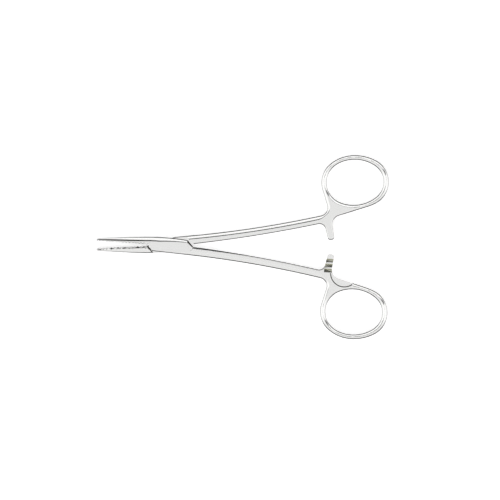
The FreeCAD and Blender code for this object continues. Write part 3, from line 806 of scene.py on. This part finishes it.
# %% The box half as one slab
handle = handle_outline(BOX_CROTCH)
box_side = joined(handle, run(SHANK_OUTER, BOX_NOSE))
jaw_line = jaw_side(shallow_arc(JAW_ROOT, BOX_HEEL, BOX_JAW_SIDE_RADIUS))
grip = serrated_edge(BOX_FRONT[0], 0)
box_outline = joined(box_side, grip, jaw_line)
box_half = mesh_object("box_half_forging", *slab(
    box_outline, forging_level, [
        Side(box_side, handle_widths(box_side), extend=(0, 3), rim=handle_rims(box_side),
             power=handle_powers(box_side)),
        *grip_sides(grip, BOX_GRIP_RIM),
        jaw_bend(jaw_line),
        hole_side(handle),
    ], [hole_outline]))
print("box half slab", len(box_half.data.polygons), "faces")
slot_half = TENON_HALF_THICKNESS + SLOT_FACE_CLEARANCE
bore = arc((0, 0), PIN_RADIUS, 0, 2 * math.pi)[:-1]
# The slot and the nose and heel shoulders take the milled finish: its near-black colour is painted shade
# there
combine(box_half, ratchet_cuts() + [
    edge_cut(BOX_NOSE, BOX_FRONT, NOSE_RIM),
    edge_cut(BOX_HEEL, BOX_CROTCH, HEEL_RIM),
    prism("slot", slot_outline(), -slot_half, slot_half, finish=milled_and_shade),
    prism("bore", bore, -2 * BOX_HALF_THICKNESS, 2 * BOX_HALF_THICKNESS),
], "DIFFERENCE")
print("box half", len(box_half.data.polygons), "faces")

# %% [markdown]
# Step 10: the tenon half.
#
# The other half thins between its shank and its jaw to a tenon of a millimetre and a half, which
# passes through the box. On the real one the tenon is what is left when both sides are milled down,
# and its shoulders are slanted. Here shank, tenon and jaw are three slabs joined by a boolean, since
# each has its own outline and its own thickness.

# %% Shoulders and tenon
def shoulder_shift():
    """How far a shoulder stands off along X, so that the gap square to it is SHOULDER_GAP."""
    lean = math.hypot(BOX_CROTCH[0] - BOX_HEEL[0], BOX_HEEL[1])
    return SHOULDER_GAP * lean / abs(BOX_HEEL[1])


shift = shoulder_shift()
shoulder_inner = (BOX_CROTCH[0] + shift, BOX_CROTCH[1])
shoulder_foot = (BOX_HEEL[0] + shift, -BOX_HEEL[1])
shoulder_outer = crossing((shoulder_foot, (BOX_CROTCH[0] + shift, 0)), (SHANK_OUTER, BOX_NOSE))
shank_outline = joined(
    handle_outline(shoulder_inner), run(SHANK_OUTER, shoulder_outer),
    run(shoulder_outer, shoulder_inner))[:-1]
shank_side = joined(handle_outline(shoulder_inner), run(SHANK_OUTER, shoulder_outer))
tenon_half = mesh_object("tenon_half_forging", *slab(
    shank_outline, forging_level, [
        Side(shank_side, handle_widths(shank_side), extend=(3, 3), power=handle_powers(shank_side)),
        hole_side(handle),
    ], [hole_outline]))
print("shank slab", len(tenon_half.data.polygons), "faces")

nose_lean = (BOX_FRONT[0] - BOX_NOSE[0]) / BOX_NOSE[1]
front_x = BOX_FRONT[0] - SHOULDER_GAP * math.hypot(nose_lean, 1)
jaw_foot = (front_x + JAW_ROOT[1] * nose_lean, JAW_ROOT[1])
tenon_jaw_line = jaw_side(run(JAW_ROOT, jaw_foot))
grip = serrated_edge(front_x, 1)
jaw_slab = mesh_object("jaw", *slab(
    joined(grip, tenon_jaw_line), forging_level, [
        *grip_sides(grip, TENON_GRIP_RIM),
        jaw_bend(tenon_jaw_line),
    ]))
# The jaw's front face takes the milled finish, whose near-black colour is painted shade in the gap before
# the box
combine(jaw_slab, [edge_cut(jaw_foot, grip[0], FRONT_RIM)], "DIFFERENCE")

lean = math.tan(TENON_TILT)
edge = TENON_HALF_WIDTH / math.cos(TENON_TILT)
deep = BOX_CROTCH[0] + 2 * shift
upper_line = ((0, edge), (1, lean + edge))
tenon_top = crossing(upper_line, (SHANK_OUTER, BOX_NOSE))
tenon_outline = [
    (deep, deep * lean - edge),
    (SHANK_OUTER[0] + 1, SHANK_OUTER[1] + 0.1),
    tuple(tenon_top),
    (JAW_ROOT[0], JAW_ROOT[0] * lean + edge),
    JAW_ROOT,
    ((edge + JAW_ROOT[1]) / lean, JAW_ROOT[1]),
]
tenon = prism("tenon", tenon_outline, -TENON_HALF_THICKNESS, TENON_HALF_THICKNESS)
combine(tenon, [edge_cut(start, end, RIM_WIDTH, TENON_HALF_THICKNESS, satin)
                for start, end in zip(tenon_outline[1:3], tenon_outline[2:4])], "DIFFERENCE")
# A dark block at the tenon's level between jaw and box, in the milled finish: painted shade in the front
# shoulder's gap
seam = prism("seam", [
    (front_x - 0.1, 0), jaw_foot, (jaw_foot[0] + SEAM, jaw_foot[1]), (front_x + SEAM, 0),
], -TENON_HALF_THICKNESS - MESH_CLEARANCE / 2, TENON_HALF_THICKNESS + MESH_CLEARANCE / 2, finish=milled_and_shade)
combine(tenon_half, [tenon, jaw_slab, seam], "UNION")
bore = arc((0, 0), PIN_RADIUS + PIN_CLEARANCE, 0, 2 * math.pi)[:-1]
combine(tenon_half, ratchet_cuts() + [
    prism("bore", bore, -2 * BOX_HALF_THICKNESS, 2 * BOX_HALF_THICKNESS),
], "DIFFERENCE")
print("tenon half", len(tenon_half.data.polygons), "faces")

# %% [markdown]
# Step 11: into place.
#
# The box half is turned over about X, both are turned about the pivot to the angle at which the pair
# lies, and both are lifted by half the box's thickness. Only now do millimetres become metres. The
# numbers go straight into the meshes, so that each object stays at the origin.

# %% Placement and shading
SHARP_ANGLE = math.radians(28)


def settle(piece, turned_over, opening):
    """Turns, lifts and scales the mesh: about X by half a turn, about Z by the opening, then up."""
    mesh = piece.data
    flat = np.empty(len(mesh.vertices) * 3)
    mesh.vertices.foreach_get("co", flat)
    points = flat.reshape(-1, 3)
    if turned_over:
        points = points * [1, -1, -1]
    c, s = math.cos(opening), math.sin(opening)
    points = points @ np.array([[c, s, 0], [-s, c, 0], [0, 0, 1]])
    points = (points + [0, 0, BOX_HALF_THICKNESS]) * MM
    mesh.vertices.foreach_set("co", points.ravel())
    mesh.shade_smooth()
    mesh.set_sharp_from_angle(angle=SHARP_ANGLE)
    mesh.update()


half_opening = math.radians(rest_opening / 2)
settle(box_half, True, -half_opening)
settle(tenon_half, False, half_opening)
for piece, node in ((box_half, "box_half"), (tenon_half, "tenon_half")):
    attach(piece, node)
    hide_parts(node)

pin = frame["nodes"]["pivot_pin"]
if pin.material_slots:
    pin.material_slots[0].material = satin
else:
    pin.data.materials.append(satin)

# %% [markdown]
# Step 12: floor, light and camera.
#
# Metal has to be given something to reflect. The photograph was taken from straight above on white,
# and its bright and dark lines tell what stood around: a pale sky over the flats, a brighter ring
# below it, a little duller on the near side, a dark band high up beyond, which draws the second line
# on every bend that leans away from the reader, a dark horizon, which draws the outlines, and one
# small dark thing beyond and to the right, which leaves two blotches on each ring, one outside and
# one in the hole. The world is therefore a function of direction. An area lamp for each would light
# the floor too, and give a softer edge. The camera's own rays see plain white.

# %% A white floor that keeps the shadow
floor_mesh = bpy.data.meshes.new("floor")
reach = 2.0
floor_mesh.from_pydata(
    [(-reach, -reach, 0), (reach, -reach, 0), (reach, reach, 0), (-reach, reach, 0)], [], [(0, 1, 2, 3)])
floor = bpy.data.objects.new("floor", floor_mesh)
bpy.context.scene.collection.objects.link(floor)
FLOOR_GLOW = (0.5, 0.5, 0.5, 1)


def floor_material():
    """Nearly white board, with a glow seen by the eye and in reflections, so that it is pure white."""
    material = bpy.data.materials.new("white_board")
    material.use_nodes = True
    nodes, links = material.node_tree.nodes, material.node_tree.links
    shader = nodes["Principled BSDF"]
    shader.inputs["Base Color"].default_value = (0.86, 0.86, 0.86, 1)
    shader.inputs["Roughness"].default_value = 0.9
    shader.inputs["Specular IOR Level"].default_value = 0.0
    glow = nodes.new("ShaderNodeEmission")
    glow.inputs["Color"].default_value = FLOOR_GLOW
    path = nodes.new("ShaderNodeLightPath")
    seen = path.outputs["Is Camera Ray"]
    for kind in ("Is Glossy Ray", "Is Transmission Ray"):
        either = nodes.new("ShaderNodeMath")
        either.operation = "MAXIMUM"
        links.new(seen, either.inputs[0])
        links.new(path.outputs[kind], either.inputs[1])
        seen = either.outputs["Value"]
    links.new(seen, glow.inputs["Strength"])
    add = nodes.new("ShaderNodeAddShader")
    links.new(shader.outputs["BSDF"], add.inputs[0])
    links.new(glow.outputs["Emission"], add.inputs[1])
    links.new(add.outputs["Shader"], nodes["Material Output"].inputs["Surface"])
    return material


floor_mesh.materials.append(floor_material())

# %% The room as a function of direction
# Heights are given as Z of the direction, and sides as its Y, which points beyond the instrument
BAND_START, BAND_FULL, BAND_FADE, BAND_END = 0.985, 0.95, 0.76, 0.68
BAND_BEYOND = (0.05, 0.25)
DARKEST = 0.02
ZENITH_LEVEL, MIDDLE_LEVEL, NEAR_LEVEL = 0.92, 1.2, 0.94
ZENITH_START, ZENITH_FULL = 0.93, 0.985
NEAR_SIDE = (-0.55, -0.2)
HORIZON_START, HORIZON_FULL, HORIZON_ENDS = 0.50, 0.42, 0.4
HORIZON_SIDES = (0.25, 0.75)
PATCH_AZIMUTH, PATCH_HEIGHT = math.radians(28), math.radians(38)
PATCH_CORE, PATCH_EDGE, PATCH_DARK = math.radians(4), math.radians(9), 0.95
PATCH_DIRECTION = (
    math.cos(PATCH_HEIGHT) * math.cos(PATCH_AZIMUTH),
    math.cos(PATCH_HEIGHT) * math.sin(PATCH_AZIMUTH),
    math.sin(PATCH_HEIGHT),
)


def room():
    """The world's strength: (zenith to middle level) * (1 - the darkest of band, horizon and patch)."""
    world = bpy.data.worlds.new("room")
    bpy.context.scene.world = world
    world.use_nodes = True
    nodes, links = world.node_tree.nodes, world.node_tree.links
    background = nodes["Background"]
    place = nodes.new("ShaderNodeTexCoord")
    split = nodes.new("ShaderNodeSeparateXYZ")
    links.new(place.outputs["Generated"], split.inputs["Vector"])

    def level(start, end, low, high, value):
        """Low before start, high after end, and a smooth step between them."""
        step = nodes.new("ShaderNodeMapRange")
        step.interpolation_type = "SMOOTHSTEP"
        for name, number in zip(("From Min", "From Max", "To Min", "To Max"), (start, end, low, high)):
            step.inputs[name].default_value = number
        links.new(value, step.inputs["Value"])
        return step.outputs["Result"]

    def math_node(operation, first, second):
        """One step of arithmetic on two values, each a number or a socket."""
        node = nodes.new("ShaderNodeMath")
        node.operation = operation
        for socket, value in zip(node.inputs, (first, second)):
            if isinstance(value, (int, float)):
                socket.default_value = value
            else:
                links.new(value, socket)
        return node.outputs["Value"]

    up, beyond = split.outputs["Z"], split.outputs["Y"]
    rise = level(BAND_FULL, BAND_START, 1.0, 0.0, up)
    fall = level(BAND_END, BAND_FADE, 0.0, 1.0, up)
    side = level(*BAND_BEYOND, 0.0, 1.0, beyond)
    band = math_node("MULTIPLY", math_node("MULTIPLY", rise, fall), side)
    low_down = level(HORIZON_FULL, HORIZON_START, 1.0, 0.0, up)
    aside = math_node("ABSOLUTE", beyond, 0.0)
    horizon = math_node("MULTIPLY", low_down, level(*HORIZON_SIDES, HORIZON_ENDS, 1.0, aside))
    toward = math_node("MULTIPLY", split.outputs["X"], PATCH_DIRECTION[0])
    toward = math_node("ADD", toward, math_node("MULTIPLY", beyond, PATCH_DIRECTION[1]))
    toward = math_node("ADD", toward, math_node("MULTIPLY", up, PATCH_DIRECTION[2]))
    patch = level(math.cos(PATCH_EDGE), math.cos(PATCH_CORE), 0.0, PATCH_DARK, toward)
    around = level(*NEAR_SIDE, NEAR_LEVEL, MIDDLE_LEVEL, beyond)
    high = level(ZENITH_START, ZENITH_FULL, 0.0, 1.0, up)
    plain = math_node("ADD", math_node("MULTIPLY", high, ZENITH_LEVEL),
                      math_node("MULTIPLY", math_node("SUBTRACT", 1.0, high), around))
    dark = math_node("MAXIMUM", math_node("MAXIMUM", band, horizon), patch)
    shade = math_node("SUBTRACT", 1.0, math_node("MULTIPLY", dark, 1.0 - DARKEST))
    lit = math_node("MULTIPLY", plain, shade)
    path = nodes.new("ShaderNodeLightPath")
    seen = math_node("MAXIMUM", lit, path.outputs["Is Camera Ray"])
    links.new(seen, background.inputs["Strength"])
    background.inputs["Color"].default_value = (1, 1, 1, 1)


room()

# %% The camera, straight above
MM_PER_PIXEL = 0.4219
PHOTO_SIZE = 500
PIVOT_PIXEL = (168.5, 245.2)
PHOTO_TURN = 0.0105
FACE_HEIGHT = 3.7
LENS, SENSOR = 200, 36

camera_data = bpy.data.cameras.new("camera")
camera = bpy.data.objects.new("camera", camera_data)
bpy.context.scene.collection.objects.link(camera)
bpy.context.scene.camera = camera
camera_data.lens = LENS
camera_data.sensor_width = SENSOR
camera_data.clip_start = 0.01
width = PHOTO_SIZE * MM_PER_PIXEL
away = [(PHOTO_SIZE / 2 - p) * MM_PER_PIXEL * sign for p, sign in zip(PIVOT_PIXEL, (1, -1))]
c, s = math.cos(PHOTO_TURN), math.sin(PHOTO_TURN)
camera.location = (
    (away[0] * c - away[1] * s) * MM,
    (away[0] * s + away[1] * c) * MM,
    (width * LENS / SENSOR + FACE_HEIGHT) * MM,
)
camera.rotation_euler = (0, 0, PHOTO_TURN)
bpy.context.scene.view_settings.view_transform = "Standard"
print("camera over", np.round(np.array(camera.location) / MM, 2), "mm")
